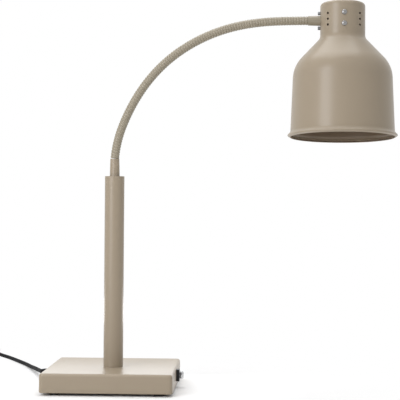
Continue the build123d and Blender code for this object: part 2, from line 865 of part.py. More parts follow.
# Switch: housing through the right face, a rocker on a pin across it, and a clear splash cover
bezel_face = switch_face.offset(bezel_protrusion)
rocker_pivot = bezel_face.offset(-rocker_pivot_depth).origin
with BuildPart() as switch_housing:
    with BuildSketch(switch_face):
        RectangleRounded(bezel_width, bezel_height, bezel_edge_radius)
    extrude(amount=bezel_protrusion)
    fillet(switch_housing.faces().sort_by(Axis.X)[-1].edges(), bezel_edge_radius / 2)
    with BuildSketch(switch_face):
        Rectangle(housing_width, housing_height)
    extrude(amount=-housing_depth)
    with BuildSketch(bezel_face):
        Rectangle(rocker_opening_width, rocker_opening_height)
    extrude(amount=housing_wall - bezel_protrusion - housing_depth, mode=Mode.SUBTRACT)
    with BuildSketch(Plane(origin=rocker_pivot, z_dir=(0, 1, 0))):
        Circle(rocker_pin_radius + rocker_pin_gap)
    extrude(amount=rocker_pin_length / 2 + rocker_pin_gap, both=True, mode=Mode.SUBTRACT)
save(switch_housing, "switch_housing")

# The rocker's section, in a plane across its pin, tilted to where it rests with its upper end out:
# local x points out of the switch and local y up
rocker_out = turned(Vector(1, 0, 0), Vector(0, 1, 0), rocker_rest_tilt)
rocker_section = Plane(origin=rocker_pivot, x_dir=rocker_out, z_dir=(0, -1, 0))
rocker_front = rocker_pivot_depth + rocker_proud
with BuildPart() as switch_rocker:
    with BuildSketch(rocker_section):
        with BuildLine():
            ThreePointArc(
                (rocker_front, rocker_front_height / 2),
                (rocker_front - rocker_dish, 0),
                (rocker_front, -rocker_front_height / 2),
            )
            Polyline(
                (rocker_front, -rocker_front_height / 2),
                (0, -rocker_height / 2),
                (-rocker_back, 0),
                (0, rocker_height / 2),
                (rocker_front, rocker_front_height / 2),
            )
        make_face()
    extrude(amount=rocker_width / 2, both=True)
    with BuildSketch(rocker_section):
        Circle(rocker_pin_radius)
    extrude(amount=rocker_pin_length / 2, both=True)
save(switch_rocker, "switch_rocker")

with BuildPart() as switch_cover:
    with BuildSketch(bezel_face):
        RectangleRounded(cover_width, cover_height, cover_corner_radius)
    extrude(amount=cover_protrusion)
    fillet(switch_cover.faces().sort_by(Axis.X)[-1].edges(), cover_edge_radius)
    offset(amount=-cover_wall, openings=switch_cover.faces().sort_by(Axis.X)[0])
    with BuildSketch(bezel_face):
        RectangleRounded(cover_width + 2 * cover_flange, cover_height + 2 * cover_flange, cover_corner_radius)
        RectangleRounded(cover_width - cover_wall, cover_height - cover_wall,
                         cover_corner_radius - cover_wall / 2, mode=Mode.SUBTRACT)
    extrude(amount=cover_wall)
save(switch_cover, "switch_cover")

# Cord gland: flange and tapered strain relief outside, thread and nut inside
gland_section = Plane(origin=gland_face.origin, x_dir=(0, 0, 1), z_dir=(0, -1, 0))
gland_bore_radius = cord_radius + gland_bore_clearance
gland_depth = base_sheet + gland_thread_length
with BuildPart() as cord_gland:
    with BuildSketch(gland_section):
        with BuildLine():
            Polyline(
                (gland_bore_radius, -gland_depth),
                (gland_thread_radius, -gland_depth),
                (gland_thread_radius, 0),
                (gland_flange_radius, 0),
                (gland_flange_radius, gland_flange_thickness),
                (gland_nose_start_radius, gland_flange_thickness),
                (gland_nose_end_radius, gland_protrusion),
                (gland_bore_radius, gland_protrusion),
                close=True,
            )
        make_face()
    revolve(axis=Axis(gland_face.origin, gland_face.z_dir))
    fillet(cord_gland.faces().sort_by(Axis.X)[0].edges().sort_by(SortBy.LENGTH)[-1], gland_nose_edge_radius)
save(cord_gland, "cord_gland")

with BuildPart() as gland_nut:
    with BuildSketch(gland_face.offset(-base_sheet)):
        RegularPolygon(gland_nut_across / 2, 6, major_radius=False)
        Circle(gland_thread_radius + thread_gap, mode=Mode.SUBTRACT)
    extrude(amount=-gland_nut_height)
save(gland_nut, "gland_nut")

# Leads inside the base: the cord's own tail through the gland, the switch's lead and the earth lead
terminal_x = base_x + terminal_offset_x
terminal_side = terminal_length / 2 + seat_gap
terminal_end = terminal_depth / 2 + seat_gap
ballast_left = base_x - (foot_spacing_x - ballast_margin) / 2
tail_height = ballast_top + cord_radius + seat_gap
lead_height = ballast_top + inner_lead_radius + seat_gap
gland_mouth = base_left - gland_protrusion
gland_inside = base_left + gland_depth + seat_gap
switch_back = base_right - housing_depth - seat_gap
switch_lead_y = terminal_offset_y + terminal_depth / 2 - 2 * inner_lead_radius
with BuildPart() as inner_leads:
    with BuildLine() as tail_route:
        FilletPolyline(
            (gland_mouth, gland_offset_y, gland_height_above_floor),
            (gland_inside, gland_offset_y, gland_height_above_floor),
            (ballast_left - cord_radius, gland_offset_y, tail_height),
            (terminal_x, gland_offset_y, tail_height),
            (terminal_x, terminal_offset_y + terminal_end, tail_height),
            radius=inner_bend_radius,
        )
    with BuildSketch(Plane(origin=tail_route.line @ 0, z_dir=tail_route.line % 0)):
        Circle(cord_radius)
    sweep(path=tail_route.line)
    with BuildLine() as switch_route:
        FilletPolyline(
            (switch_back, 0, lead_height),
            (switch_back - 2 * inner_bend_radius, 0, lead_height),
            (switch_back - 2 * inner_bend_radius, switch_lead_y, lead_height),
            (terminal_x + terminal_side, switch_lead_y, lead_height),
            radius=inner_bend_radius,
        )
    with BuildSketch(Plane(origin=switch_route.line @ 0, z_dir=switch_route.line % 0)):
        Circle(inner_lead_radius)
    sweep(path=switch_route.line)
    earth_lead_end = earth_offset_y + earth_screw_head_radius + seat_gap
    with BuildSketch(Plane(origin=(terminal_x, terminal_offset_y - terminal_end, lead_height), z_dir=(0, -1, 0))):
        Circle(inner_lead_radius)
    extrude(amount=terminal_offset_y - terminal_end - earth_lead_end)
save(inner_leads, "inner_leads")


def corner_radii_of(points):
    """Arc radii for a route: 0.45 of the shorter run at each corner, over the tangent of half the turn."""
    radii = []
    for before, corner, after in zip(points, points[1:], points[2:]):
        first = Vector(*corner) - Vector(*before)
        second = Vector(*after) - Vector(*corner)
        half_turn = radians(first.get_angle(second)) / 2
        radii.append(0.45 * min(first.length, second.length) / tan(half_turn))
    return radii


def report_route(name, radii, wire, tube):
    print(name, "radii", [round(value, 1) for value in radii])
    print(name, "length", round(wire.length, 1), "from volume", round(tube.volume / (pi * cord_radius ** 2), 1))


# Power cord: from the gland's mouth over the floor to the coil
coil_low = coil_lift + cord_radius
coil_high = coil_low + coil_layer_pitch
route = [(gland_mouth, gland_offset_y, gland_height_above_floor)]
route += [(base_x + x, y, z) for x, y, z in cord_points]
coil_entry = Vector(base_x + coil_start[0], coil_start[1], coil_low)
coil_lead_in = coil_entry - Vector(0, 2 * cord_radius, 0)
route.append(tuple(coil_entry - Vector(0, coil_run_in, 0)))
route.append(tuple(coil_lead_in))
with BuildPart() as power_cord:
    route_radii = corner_radii_of(route)
    with BuildLine() as cord_line:
        FilletPolyline(*route, radius=route_radii)
    with BuildSketch(Plane(origin=cord_line.line @ 0, z_dir=cord_line.line % 0)):
        Circle(cord_radius)
    sweep()
save(power_cord, "power_cord")
report_route("power_cord", route_radii, cord_line.wire(), power_cord.part)

# Coil: half turns that step inwards on the lower layer, climb, and step outwards on the upper one
coil_centre = Vector(coil_entry.X - coil_outer_radius, coil_entry.Y, 0)
half_step = coil_turn_pitch / 2
coil_radii = [coil_outer_radius - half_step * step for step in range(coil_half_turns_in + 1)]
coil_radii += coil_radii[::-1]
coil_heights = [coil_low] * (coil_half_turns_in + 1) + [coil_high] * (coil_half_turns_in + 1)
coil_points = []
for step, (radius, height) in enumerate(zip(coil_radii, coil_heights)):
    side = 1 if step % 2 == 0 else -1
    coil_points.append(coil_centre + Vector(side * radius, 0, height))
coil_end = coil_points[-1]
coil_lead_out = coil_end - Vector(0, 2 * cord_radius, 0)
with BuildPart() as cord_coil:
    with BuildLine() as coil_line:
        Line(coil_lead_in, coil_points[0])
        for step, (start, end) in enumerate(zip(coil_points, coil_points[1:])):
            bulge = 1 if step % 2 == 0 else -1
            middle = (start + end) * 0.5 + Vector(0, bulge * (start - end).length / 2, 0)
            ThreePointArc(start, middle, end)
        Line(coil_end, coil_lead_out)
    with BuildSketch(Plane(origin=coil_lead_in, z_dir=(0, 1, 0))):
        Circle(cord_radius)
    sweep()
save(cord_coil, "cord_coil")

coil_wire = coil_line.wire()
sample_count = 600
samples = [coil_wire @ (number / sample_count) for number in range(sample_count + 1)]
neighbours = int(pi * cord_radius * sample_count / coil_wire.length) + 1
least = min(
    (samples[first] - samples[second]).length
    for first in range(sample_count + 1)
    for second in range(first + neighbours, sample_count + 1)
)
print("coil least gap to itself", round(least - 2 * cord_radius, 2), "length", round(coil_wire.length, 1))

# Tie around the four strands on the coil's near side
strand_inner = (coil_radii[coil_half_turns_in - 1] + coil_radii[coil_half_turns_in]) / 2
strand_outer = (coil_radii[1] + coil_radii[2]) / 2
tie_inner_y = coil_centre.Y - strand_inner + cord_radius + tie_clearance
tie_outer_y = coil_centre.Y - strand_outer - cord_radius - tie_clearance
tie_low = coil_low - cord_radius - tie_clearance
tie_high = coil_high + cord_radius + tie_clearance
tie_plane = Plane(
    origin=(coil_centre.X, (tie_inner_y + tie_outer_y) / 2, (tie_low + tie_high) / 2), z_dir=(1, 0, 0)
)
tie_depth = tie_inner_y - tie_outer_y
tie_rise = tie_high - tie_low
with BuildPart() as cord_tie:
    with BuildSketch(tie_plane):
        Rectangle(tie_rise + 2 * tie_thickness, tie_depth + 2 * tie_thickness)
        Rectangle(tie_rise, tie_depth, mode=Mode.SUBTRACT)
    extrude(amount=tie_width / 2, both=True)
save(cord_tie, "cord_tie")

# Lead from the coil to the plug, and the plug lying on the floor
tail = [tuple(coil_lead_out), tuple(coil_end - Vector(0, tail_run_out, 0))]
tail += [(coil_end.X + x, coil_end.Y + y, z) for x, y, z in tail_points]
tail_radii = corner_radii_of(tail)
with BuildPart() as plug_lead:
    with BuildLine() as tail_line:
        FilletPolyline(*tail, radius=tail_radii)
    with BuildSketch(Plane(origin=tail_line.line @ 0, z_dir=tail_line.line % 0)):
        Circle(cord_radius)
    sweep()
save(plug_lead, "plug_lead")
report_route("plug_lead", tail_radii, tail_line.wire(), plug_lead.part)

plug_direction = (Vector(*tail[-1]) - Vector(*tail[-2])).normalized()
plug_side = plug_direction.cross(Vector(0, 0, 1))
plug_origin = Vector(*tail[-1])
grip_start = relief_length
face_start = grip_start + plug_grip_length
plug_end = face_start + plug_face_length
plug_section = Plane(origin=plug_origin, x_dir=plug_side, z_dir=plug_side.cross(plug_direction))
with BuildPart() as plug_body:
    with BuildSketch(plug_section):
        with BuildLine():
            Polyline(
                (0, 0),
                (relief_start_radius, 0),
                (relief_end_radius, grip_start),
                (plug_grip_radius, grip_start),
                (plug_grip_radius, face_start),
                (plug_radius, face_start),
                (plug_radius, plug_end),
                (0, plug_end),
                close=True,
            )
        make_face()
    revolve(axis=Axis(plug_origin, plug_direction))
    fillet(plug_body.edges().filter_by(GeomType.CIRCLE).group_by(SortBy.RADIUS)[-1], plug_edge_radius)
save(plug_body, "plug_body")

plug_face = Plane(origin=plug_origin + plug_direction * plug_end, x_dir=plug_side, z_dir=plug_direction)
with BuildPart() as plug_pins:
    with BuildSketch(plug_face):
        with GridLocations(pin_spacing, 0, 2, 1):
            Circle(pin_radius)
    extrude(amount=pin_length)
save(plug_pins, "plug_pins")
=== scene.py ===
# Food heat lamp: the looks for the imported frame. Metres, +Z up, the viewer is on the -Y side.
import json
import math

import bmesh
import bpy
from mathutils import Matrix, Vector


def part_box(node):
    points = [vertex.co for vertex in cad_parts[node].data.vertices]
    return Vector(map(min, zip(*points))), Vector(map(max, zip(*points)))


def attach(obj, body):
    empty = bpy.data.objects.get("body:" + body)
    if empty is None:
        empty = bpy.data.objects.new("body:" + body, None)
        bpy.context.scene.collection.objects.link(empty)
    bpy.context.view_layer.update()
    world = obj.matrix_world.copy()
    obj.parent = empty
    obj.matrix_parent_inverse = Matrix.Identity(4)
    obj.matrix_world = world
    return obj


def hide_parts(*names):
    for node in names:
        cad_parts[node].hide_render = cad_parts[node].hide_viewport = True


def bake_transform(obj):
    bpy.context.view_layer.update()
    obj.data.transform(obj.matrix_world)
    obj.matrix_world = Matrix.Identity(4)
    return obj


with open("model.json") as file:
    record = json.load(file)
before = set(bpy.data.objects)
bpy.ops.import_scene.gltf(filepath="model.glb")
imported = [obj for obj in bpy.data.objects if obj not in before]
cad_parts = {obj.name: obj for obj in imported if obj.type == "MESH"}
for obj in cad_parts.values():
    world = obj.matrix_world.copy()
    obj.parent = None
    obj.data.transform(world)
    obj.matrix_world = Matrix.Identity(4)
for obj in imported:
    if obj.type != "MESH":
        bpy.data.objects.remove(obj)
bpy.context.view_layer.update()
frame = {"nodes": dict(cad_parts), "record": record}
nodes = frame["nodes"]
scene = bpy.context.scene
print("frame loaded:", len(nodes), "nodes")


def middleOf(node):
    low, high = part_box(node)
    return (low + high) / 2


# places that several pieces are measured from
columnMiddle = middleOf("column_tube")
baseMiddle = middleOf("base_shell")
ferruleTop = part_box("lower_ferrule")[1].z
headRoll = math.radians(2.7)  # the shade leans back by this
headFront = Vector((0, -math.cos(headRoll), math.sin(headRoll)))
headAxis = Vector((0, math.sin(headRoll), math.cos(headRoll)))


# camera, at the photo's own view


cameraView = {
    "place": (0.2374, -2.291, 0.3115),  # from the column's axis and the floor
    "yaw": -2.10,
    "pitch": 0.64,
    "roll": -0.42,
    "lens": 115.3,
    "sensor": 36.0,
    "clipStart": 0.05,
    "clipEnd": 90,
}


def makeCamera(view):
    yaw, pitch, roll = (math.radians(view[key]) for key in ("yaw", "pitch", "roll"))
    ahead = Vector((math.sin(yaw) * math.cos(pitch), math.cos(yaw) * math.cos(pitch), math.sin(pitch)))
    level = Vector((math.cos(yaw), -math.sin(yaw), 0))
    upright = level.cross(ahead)
    right = level * math.cos(roll) - upright * math.sin(roll)
    up = level * math.sin(roll) + upright * math.cos(roll)
    data = bpy.data.cameras.new("photoCamera")
    data.lens = view["lens"]
    data.sensor_width = view["sensor"]
    data.clip_start = view["clipStart"]
    data.clip_end = view["clipEnd"]
    camera = bpy.data.objects.new("photoCamera", data)
    scene.collection.objects.link(camera)
    turn = Matrix((right, up, -ahead)).transposed()
    place = Vector((columnMiddle.x, columnMiddle.y, 0)) + Vector(view["place"])
    camera.matrix_world = Matrix.Translation(place) @ turn.to_4x4()
    scene.camera = camera


makeCamera(cameraView)
print("camera placed")


# helpers for nodes and colours


class Field:
    # a socket that can be used in plain arithmetic
    def __init__(self, maker, socket):
        self.maker = maker
        self.socket = socket

    def math(self, operation, other, swapped=False):
        values = [other, self] if swapped else [self, other]
        node = self.maker.add("ShaderNodeMath", {"operation": operation}, dict(enumerate(values)))
        return Field(self.maker, node.outputs[0])

    def __add__(self, other):
        return self.math("ADD", other)

    def __radd__(self, other):
        return self.math("ADD", other, True)

    def __mul__(self, other):
        return self.math("MULTIPLY", other)

    def __rmul__(self, other):
        return self.math("MULTIPLY", other, True)

    def clamped(self, low, high):
        ranged = {"data_type": "FLOAT", "interpolation_type": "SMOOTHSTEP"}
        values = {"Value": self, "From Min": low, "From Max": high}
        return Field(self.maker, self.maker.add("ShaderNodeMapRange", ranged, values).outputs[0])


class NodeMaker:
    # makes the nodes of one tree: settings first, then the values or links of the sockets
    def __init__(self, tree):
        self.tree = tree

    def add(self, kind, settings=None, values=None):
        node = self.tree.nodes.new(kind)
        for key, value in (settings or {}).items():
            setattr(node, key, value)
        for key, value in (values or {}).items():
            self.put(node.inputs[key], value)
        return node

    def put(self, socket, value):
        for item in value if isinstance(value, list) else [value]:
            if isinstance(item, Field):
                item = item.socket
            if isinstance(item, bpy.types.NodeSocket):
                self.tree.links.new(item, socket)
            elif isinstance(item, tuple) and len(item) == 3 and socket.type == "RGBA":
                socket.default_value = (*item, 1.0)
            else:
                socket.default_value = item


class Shader(NodeMaker):
    def __init__(self, name, **sockets):
        self.material = bpy.data.materials.new(name)
        self.material.use_nodes = True
        super().__init__(self.material.node_tree)
        self.tree.nodes.clear()
        values = {key.replace("_", " "): value for key, value in sockets.items()}
        self.surface = self.add("ShaderNodeBsdfPrincipled", {}, values)
        self.output = self.add("ShaderNodeOutputMaterial", {}, {"Surface": self.surface.outputs[0]})
        self.coords = self.add("ShaderNodeTexCoord")

    def noise(self, scale, detail=2.0, roughness=0.5, stretch=(1, 1, 1)):
        place = {"Vector": self.coords.outputs["Object"], "Scale": stretch}
        moved = self.add("ShaderNodeMapping", {}, place).outputs[0]
        values = {"Vector": moved, "Scale": scale, "Detail": detail, "Roughness": roughness}
        return Field(self, self.add("ShaderNodeTexNoise", {}, values).outputs[0])

    def vector(self, operation, first, second):
        return self.add("ShaderNodeVectorMath", {"operation": operation}, {0: first, 1: second})

    def cells(self, scale):
        values = {"Vector": self.coords.outputs["Object"], "Scale": scale}
        return Field(self, self.add("ShaderNodeTexVoronoi", {}, values).outputs["Distance"])

    def mixColor(self, share, first, second):
        # 6, 7 and 2 are the node's colour sockets
        return self.add("ShaderNodeMix", {"data_type": "RGBA"}, {0: share, 6: first, 7: second}).outputs[2]

    def bump(self, height, strength, distance):
        values = {"Height": height, "Strength": strength, "Distance": distance}
        self.put(self.surface.inputs["Normal"], self.add("ShaderNodeBump", {}, values).outputs[0])

    def set(self, name, value):
        self.put(self.surface.inputs[name], value)


def shaded(color, factor):
    return tuple(channel * factor for channel in color)


# materials


paintLook = {
    "color": (0.285, 0.233, 0.168),
    "roughness": 0.33,
    "grainRough": 0.08,  # what the grain and the clouds do to the roughness
    "cloudRough": 0.06,
    "specular": 0.40,
    "grain": 620,  # bumps to the metre
    "grainStrength": 0.30,
    "grainDepth": 0.00002,
    "cloudScale": 9,  # slow drifts of tint
    "tintShare": 0.06,
    "speckScale": 1488,
    "speckMask": (0.60, 0.78),
    "speckShare": 0.12,
    "speckTint": 1.2,
    # painted shade: a darker colour for the shade's interior
    "inside": (0.150, 0.112, 0.070),
    "hemTop": -0.146,  # along the shade's axis from the middle of the bulb's cap
    "softEdge": 0.002,  # over which the painted shade's colour fades in
}
armLook = dict(paintLook, color=(0.266, 0.232, 0.172), grainDepth=0.00001)


def paintMaterial(name, look, axis=None):
    # axis: a point and a direction. Faces turned to that line, above the hem, get painted shade: the
    # shade's interior is darkened in its colour
    shader = Shader(name, Specular_IOR_Level=look["specular"])
    grain = shader.noise(look["grain"], detail=2.0, roughness=0.55)
    clouds = shader.noise(look["cloudScale"], detail=3.0)
    specks = shader.noise(look["speckScale"], detail=1.0).clamped(*look["speckMask"])
    light = shaded(look["color"], 1 + look["tintShare"] / 2)
    dark = shaded(look["color"], 1 - look["tintShare"] / 2)
    coat = shader.mixColor(clouds, dark, light)
    coat = shader.mixColor(specks * look["speckShare"], coat, shaded(look["color"], look["speckTint"]))
    if axis:
        middle, direction = (tuple(part) for part in axis)
        away = shader.vector("SUBTRACT", shader.coords.outputs["Object"], middle)
        flat = shader.vector("CROSS_PRODUCT", away.outputs[0], direction)
        sideways = shader.vector("CROSS_PRODUCT", direction, flat.outputs[0])
        facing = shader.vector("DOT_PRODUCT", sideways.outputs[0], shader.coords.outputs["Normal"])
        height = shader.vector("DOT_PRODUCT", away.outputs[0], direction)
        fade = look["softEdge"]
        above = Field(shader, height.outputs["Value"]).clamped(look["hemTop"] - fade, look["hemTop"])
        # where the painted shade lies: interior faces above the hem
        inside = (Field(shader, facing.outputs["Value"]) * -1.0).clamped(0.0, fade) * above
        coat = shader.mixColor(inside, coat, look["inside"])
    smoothest = look["roughness"] - (look["grainRough"] + look["cloudRough"]) / 2
    shader.set("Base Color", coat)
    shader.set("Roughness", grain * look["grainRough"] + clouds * look["cloudRough"] + smoothest)
    shader.bump(grain, look["grainStrength"], look["grainDepth"])
    return shader.material


darkLooks = {
    "blackRubber": {
        "color": (0.014, 0.014, 0.015),
        "roughness": 0.60,
        "specular": 0.25,
        "grain": 700,
        "grainDepth": 0.00010,
        "dust": 0.10,
    },
    "blackPlastic": {
        "color": (0.010, 0.010, 0.011),
        "roughness": 0.40,
        "specular": 0.35,
        "grain": 1100,
        "grainDepth": 0.00005,
        "dust": 0.0,
    },
    "cordSheath": {
        "color": (0.006, 0.006, 0.007),
        "roughness": 0.60,
        "specular": 0.08,
        "grain": 800,
        "grainDepth": 0.00006,
        "dust": 0.0,
    },
}
darkFinish = {
    "grainRough": 0.16,
    "roughDrop": 0.06,
    "grainStrength": 0.35,
    "patchScale": 40,
    "patchTints": (0.85, 1.2),
    "dustColor": (0.12, 0.115, 0.105),
    "dustMask": (0.45, 0.75),
}


def darkMaterial(name, look, finish):
    shader = Shader(name, Specular_IOR_Level=look["specular"])
    grain = shader.noise(look["grain"], detail=3.0, roughness=0.6)
    patches = shader.noise(finish["patchScale"], detail=2.0)
    dark, light = (shaded(look["color"], tint) for tint in finish["patchTints"])
    base = shader.mixColor(patches, dark, light)
    if look["dust"]:
        dusty = patches.clamped(*finish["dustMask"]) * look["dust"]
        base = shader.mixColor(dusty, base, finish["dustColor"])
    shader.set("Base Color", base)
    shader.set("Roughness", grain * finish["grainRough"] + (look["roughness"] - finish["roughDrop"]))
    shader.bump(grain, finish["grainStrength"], look["grainDepth"])
    return shader.material


metalLooks = {
    "zincPlate": {"color": (0.60, 0.60, 0.59), "roughness": 0.26, "brush": 260},
    "screwChrome": {"color": (0.30, 0.295, 0.29), "roughness": 0.24, "brush": 300},
    "dullZinc": {"color": (0.27, 0.275, 0.285), "roughness": 0.38, "brush": 240},
    "platedSteel": {"color": (0.50, 0.50, 0.49), "roughness": 0.36, "brush": 160},
    "brass": {"color": (0.66, 0.48, 0.20), "roughness": 0.30, "brush": 200},
    "nickelPlate": {"color": (0.66, 0.64, 0.60), "roughness": 0.20, "brush": 300},
}
metalFinish = {
    "stretch": (1, 1, 9),  # fine lines round an upright piece
    "brushRough": 0.16,
    "brushStrength": 0.12,
    "brushDepth": 0.00003,
    "dullScale": 0.4,  # this and spotScale are times the brush marks' own scale
    "dullMask": (0.4, 0.8),
    "dullShare": 0.35,
    "dullTint": 0.72,
    "dullRough": 0.10,
    "spotScale": 4,
    "spotMask": (0.5, 0.9),
    "spotShare": 0.2,
    "spotTint": 1.12,
    "roughDrop": 0.08,
}


def metalMaterial(name, look, finish):
    shader = Shader(name, Metallic=1.0)
    brushed = shader.noise(look["brush"], detail=3.0, roughness=0.6, stretch=finish["stretch"])
    spots = shader.cells(look["brush"] * finish["spotScale"]).clamped(*finish["spotMask"])
    dull = shader.noise(look["brush"] * finish["dullScale"], detail=2.0).clamped(*finish["dullMask"])
    faded = shaded(look["color"], finish["dullTint"])
    bright = shaded(look["color"], finish["spotTint"])
    base = shader.mixColor(dull * finish["dullShare"], look["color"], faded)
    shader.set("Base Color", shader.mixColor(spots * finish["spotShare"], base, bright))
    rough = brushed * finish["brushRough"] + dull * finish["dullRough"]
    shader.set("Roughness", rough + (look["roughness"] - finish["roughDrop"]))
    shader.bump(brushed, finish["brushStrength"], finish["brushDepth"])
    return shader.material


castLook = {
    "color": (0.05, 0.05, 0.052),
    "rust": (0.13, 0.07, 0.04),
    "rustScale": 60,
    "rustMask": (0.55, 0.75),
    "rustShare": 0.3,
    "metallic": 0.3,
    "roughness": 0.5,
    "pits": 420,
    "pitRough": 0.3,
    "pitStrength": 0.6,
    "pitDepth": 0.0003,
}


def castMaterial(name, look):
    shader = Shader(name, Metallic=look["metallic"])
    pits = shader.noise(look["pits"], detail=5.0, roughness=0.65)
    rust = shader.noise(look["rustScale"], detail=3.0).clamped(*look["rustMask"])
    shader.set("Base Color", shader.mixColor(rust * look["rustShare"], look["color"], look["rust"]))
    shader.set("Roughness", pits * look["pitRough"] + look["roughness"])
    shader.bump(pits, look["pitStrength"], look["pitDepth"])
    return shader.material


ceramicLook = {
    "color": (0.74, 0.72, 0.66),
    "speckColor": (0.42, 0.38, 0.32),
    "speckScale": 900,
    "speckMask": (0.66, 0.74),
    "specular": 0.5,
    "roughness": 0.14,
    "waves": 70,
    "waveRough": 0.12,
    "waveStrength": 0.10,
    "waveDepth": 0.0002,
}


def ceramicMaterial(name, look):
    shader = Shader(name, Specular_IOR_Level=look["specular"])
    waves = shader.noise(look["waves"], detail=2.0)
    specks = shader.noise(look["speckScale"], detail=1.0).clamped(*look["speckMask"])
    shader.set("Base Color", shader.mixColor(specks, look["color"], look["speckColor"]))
    shader.set("Roughness", waves * look["waveRough"] + look["roughness"])
    shader.bump(waves, look["waveStrength"], look["waveDepth"])
    return shader.material


terminalLook = {
    "dark": (0.62, 0.60, 0.53),
    "light": (0.70, 0.68, 0.61),
    "roughness": 0.4,
    "grain": 500,
    "grainRough": 0.1,
    "grainStrength": 0.2,
    "grainDepth": 0.00005,
}


def terminalMaterial(name, look):
    shader = Shader(name)
    grain = shader.noise(look["grain"], detail=2.0)
    shader.set("Base Color", shader.mixColor(grain, look["dark"], look["light"]))
    shader.set("Roughness", grain * look["grainRough"] + look["roughness"])
    shader.bump(grain, look["grainStrength"], look["grainDepth"])
    return shader.material


clearLook = {
    "color": (0.50, 0.51, 0.53),
    "specular": 0.5,
    "ior": 1.49,
    "alpha": 0.16,
    "roughness": 0.05,
    "scuffs": 380,
    "scuffMask": (0.4, 0.8),
    "scuffAlpha": 0.10,
    "scuffRough": 0.12,
}


def clearMaterial(name, look):
    # a clear splash cover, see-through and a little scuffed
    shader = Shader(name, Specular_IOR_Level=look["specular"], IOR=look["ior"], Base_Color=look["color"])
    scuffs = shader.noise(look["scuffs"], detail=4.0, roughness=0.7)
    shader.set("Roughness", scuffs.clamped(*look["scuffMask"]) * look["scuffRough"] + look["roughness"])
    shader.set("Alpha", scuffs * look["scuffAlpha"] + look["alpha"])
    shader.material.surface_render_method = "BLENDED"
    return shader.material


bulbLook = {
    "deepRed": (0.30, 0.018, 0.010),
    "lightRed": (0.42, 0.045, 0.022),
    "lacquer": 240,
    "lacquerShare": 0.5,
    "specular": 0.6,
    "roughness": 0.10,
    "coat": 0.5,
    "coatRoughness": 0.05,
    "ripples": 60,
    "rippleRough": 0.10,
    "rippleCoat": 0.3,
    "rippleStrength": 0.25,
    "rippleDepth": 0.0004,
}


def bulbMaterial(name, look):
    # red lacquered glass of an infrared bulb
    shader = Shader(name, Specular_IOR_Level=look["specular"], Coat_Roughness=look["coatRoughness"])
    ripples = shader.noise(look["ripples"], detail=2.0)
    lacquer = shader.noise(look["lacquer"], detail=3.0) * look["lacquerShare"]
    shader.set("Base Color", shader.mixColor(lacquer, look["deepRed"], look["lightRed"]))
    shader.set("Roughness", ripples * look["rippleRough"] + look["roughness"])
    shader.set("Coat Weight", ripples * look["rippleCoat"] + look["coat"])
    shader.bump(ripples, look["rippleStrength"], look["rippleDepth"])
    return shader.material


paint = paintMaterial("warmGreyPaint", paintLook)
armPaint = paintMaterial("armPaint", armLook)
shadePaint = paintMaterial("shadePaint", paintLook, (middleOf("bulb_cap"), headAxis))
darks = {name: darkMaterial(name, look, darkFinish) for name, look in darkLooks.items()}
metals = {name: metalMaterial(name, look, metalFinish) for name, look in metalLooks.items()}

materialOfSlot = {
    "base_paint": paint,
    "arm_paint": armPaint,
    "shade_paint": shadePaint,
    "black_rubber": darks["blackRubber"],
    "black_plastic": darks["blackPlastic"],
    "clear_plastic": clearMaterial("clearPlastic", clearLook),
    "terminal_plastic": terminalMaterial("terminalPlastic", terminalLook),
    "zinc": metals["zincPlate"],
    "plated_steel": metals["platedSteel"],
    "ballast_iron": castMaterial("castIron", castLook),
    "white_ceramic": ceramicMaterial("glazedCeramic", ceramicLook),
    "brass": metals["brass"],
    "nickel": metals["nickelPlate"],
    "bulb_glass": bulbMaterial("heatBulbGlass", bulbLook),
    "cable_sheath": darks["cordSheath"],
}
slotOfNode = {part["node"]: part["material_slot"] for part in frame["record"]["subparts"]}
for name, node in nodes.items():
    node.data.materials.clear()
    node.data.materials.append(materialOfSlot[slotOfNode[name]])
for name in ("side_screws", "column_bush"):  # duller than the other plated pieces
    nodes[name].data.materials[0] = metals["dullZinc"]
print("materials:", len(bpy.data.materials))


# geometry node trees


class Tree(NodeMaker):
    # one geometry node group with named inputs
    def __init__(self, name, inputs):
        super().__init__(bpy.data.node_groups.new(name, "GeometryNodeTree"))
        interface = self.tree.interface
        interface.new_socket("Geometry", in_out="OUTPUT", socket_type="NodeSocketGeometry")
        interface.new_socket("Geometry", in_out="INPUT", socket_type="NodeSocketGeometry")
        self.names = {}
        for label, (kind, value) in inputs.items():
            socket = interface.new_socket(label, in_out="INPUT", socket_type="NodeSocket" + kind)
            if value is not None:
                socket.default_value = value
            self.names[label] = socket.identifier
        self.start = super().add("NodeGroupInput")
        self.end = super().add("NodeGroupOutput")

    def add(self, kind, settings=None, values=None):
        prefix = "" if kind.startswith(("Shader", "Function")) else "GeometryNode"
        return super().add(prefix + kind, settings, values).outputs

    def math(self, operation, first, second):
        return self.add("ShaderNodeMath", {"operation": operation}, {0: first, 1: second})[0]

    def given(self, label):
        return self.start.outputs[label]

    def finish(self, geometry):
        real = self.add("RealizeInstances", {}, {"Geometry": geometry})[0]
        smooth = self.add("SetShadeSmooth", {}, {"Geometry": real, "Shade Smooth": self.given("Smooth")})[0]
        dressed = self.add("SetMaterial", {}, {"Geometry": smooth, "Material": self.given("Material")})[0]
        self.put(self.end.inputs["Geometry"], dressed)

    def apply(self, source, name, values):
        # runs the tree on an object and keeps the plain mesh that comes out
        modifier = source.modifiers.new(self.tree.name, "NODES")
        modifier.node_group = self.tree
        for label, value in values.items():
            modifier[self.names[label]] = value
        source.update_tag()
        bpy.context.view_layer.update()
        evaluated = source.evaluated_get(bpy.context.evaluated_depsgraph_get())
        result = bpy.data.meshes.new_from_object(evaluated)
        result.name = name
        bpy.data.objects.remove(source)
        piece = bpy.data.objects.new(name, result)
        scene.collection.objects.link(piece)
        return piece


